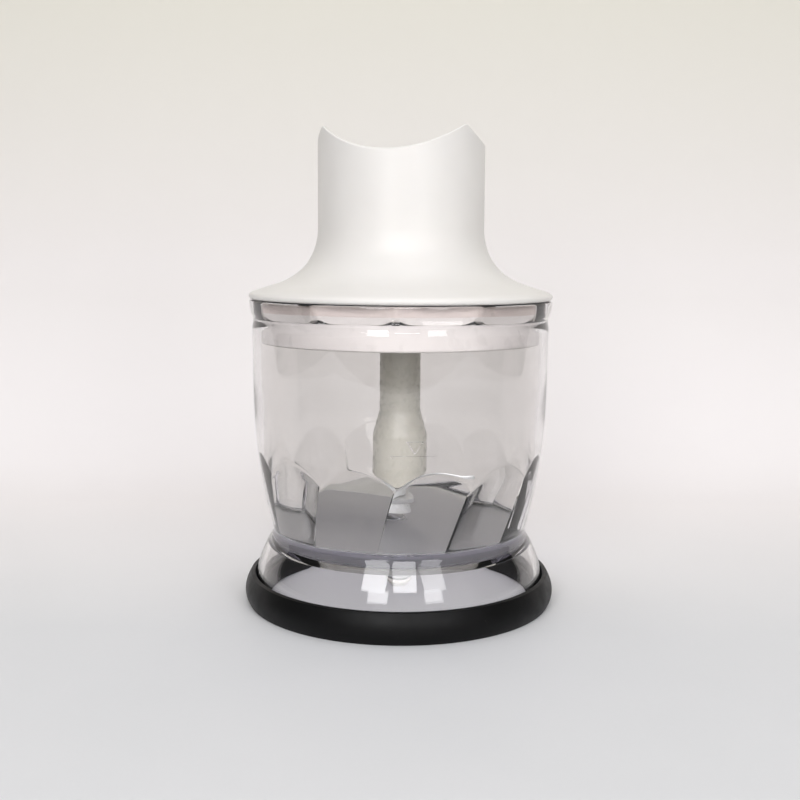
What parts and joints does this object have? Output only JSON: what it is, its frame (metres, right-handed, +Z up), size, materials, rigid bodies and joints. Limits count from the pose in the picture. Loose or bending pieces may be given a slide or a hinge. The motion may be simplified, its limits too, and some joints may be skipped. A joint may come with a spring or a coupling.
{
  "type": "blender chopper attachment",
  "caption": "Clear fluted chopper bowl on a black anti-slip ring, with a steel blade hub inside and a white geared lid whose saddle-cut neck takes a hand blender's motor body.",
  "frame": {"origin": "centre of the anti-slip ring's underside, on the surface the object stands on", "axes": "+Z up along the bowl's axis, -Y towards the front, where the level line is"},
  "size_m": [0.1146, 0.1146, 0.172],
  "materials": {
    "black_rubber": "satin moulded rubber",
    "clear_styrene": "clear moulded plastic with a faint violet tint",
    "ground_steel": "ground or zinc-plated steel",
    "stainless_blade": "stamped stainless steel, satin",
    "white_polypropylene": "satin white moulding",
    "grey_polypropylene": "satin light grey moulding",
    "bronze": "sintered bronze",
    "white_abs": "glossy warm white moulding",
    "satin_abs": "satin grey-white moulding",
    "grey_nylon": "glass-filled nylon",
    "acetal": "moulded acetal",
    "dark_acetal": "moulded acetal",
    "nitrile_seal": "moulded nitrile rubber"
  },
  "bodies": {
    "base": {"anti_slip_ring": "black_rubber"},
    "bowl": {"bowl": "clear_styrene", "bowl_foot": "clear_styrene", "bowl_pin": "ground_steel"},
    "blades": {"blade_hub": "white_polypropylene", "lower_blade": "stainless_blade", "upper_blade": "stainless_blade", "blade_spacer": "grey_polypropylene", "blade_retainer": "grey_polypropylene", "blade_bush": "bronze"},
    "lid": {"lid_shell": "white_abs", "lid_plug": "satin_abs", "gearbox_housing": "grey_nylon", "gearbox_cover": "satin_abs", "ring_gear": "acetal", "input_bush": "bronze", "output_bush": "bronze", "output_seal": "nitrile_seal", "thrust_washer": "bronze", "cover_screw_1": "ground_steel", "cover_screw_2": "ground_steel", "cover_screw_3": "ground_steel", "shell_screw_1": "ground_steel", "shell_screw_2": "ground_steel", "shell_screw_3": "ground_steel"},
    "input": {"input_coupler": "dark_acetal", "sun_gear": "acetal"},
    "carrier": {"carrier_plate": "ground_steel", "carrier_clip": "ground_steel", "output_drive": "dark_acetal", "planet_pin_1": "ground_steel", "planet_pin_2": "ground_steel", "planet_pin_3": "ground_steel"},
    "planet_1": {"planet_gear_1": "acetal"},
    "planet_2": {"planet_gear_2": "acetal"},
    "planet_3": {"planet_gear_3": "acetal"}
  },
  "joints": [
    {"name": "bowl_lift", "type": "slide", "parent": "base", "child": "bowl", "axis": [0, 0, 1], "range_m": [0, 0.03]},
    {"name": "blade_spin", "type": "hinge", "parent": "bowl", "child": "blades", "pos_m": [0, 0, 0.035], "axis": [0, 0, 1], "continuous": true},
    {"name": "lid_lift", "type": "slide", "parent": "bowl", "child": "lid", "axis": [0, 0, 1], "range_m": [0, 0.06]},
    {"name": "input_spin", "type": "hinge", "parent": "lid", "child": "input", "pos_m": [0, 0, 0.116], "axis": [0, 0, 1], "continuous": true},
    {"name": "carrier_spin", "type": "hinge", "parent": "lid", "child": "carrier", "pos_m": [0, 0, 0.105], "axis": [0, 0, 1], "continuous": true},
    {"name": "planet_spin_1", "type": "hinge", "parent": "carrier", "child": "planet_1", "pos_m": [0.015, 0, 0.11], "axis": [0, 0, 1], "continuous": true},
    {"name": "planet_spin_2", "type": "hinge", "parent": "carrier", "child": "planet_2", "pos_m": [-0.0075, 0.01299, 0.11], "axis": [0, 0, 1], "continuous": true},
    {"name": "planet_spin_3", "type": "hinge", "parent": "carrier", "child": "planet_3", "pos_m": [-0.0075, -0.01299, 0.11], "axis": [0, 0, 1], "continuous": true}
  ],
  "couplings": [
    {"joint": "input_spin", "follows": "blade_spin", "ratio": 4},
    {"joint": "carrier_spin", "follows": "blade_spin", "ratio": 1},
    {"joint": "planet_spin_1", "follows": "blade_spin", "ratio": -3},
    {"joint": "planet_spin_2", "follows": "blade_spin", "ratio": -3},
    {"joint": "planet_spin_3", "follows": "blade_spin", "ratio": -3}
  ]
}
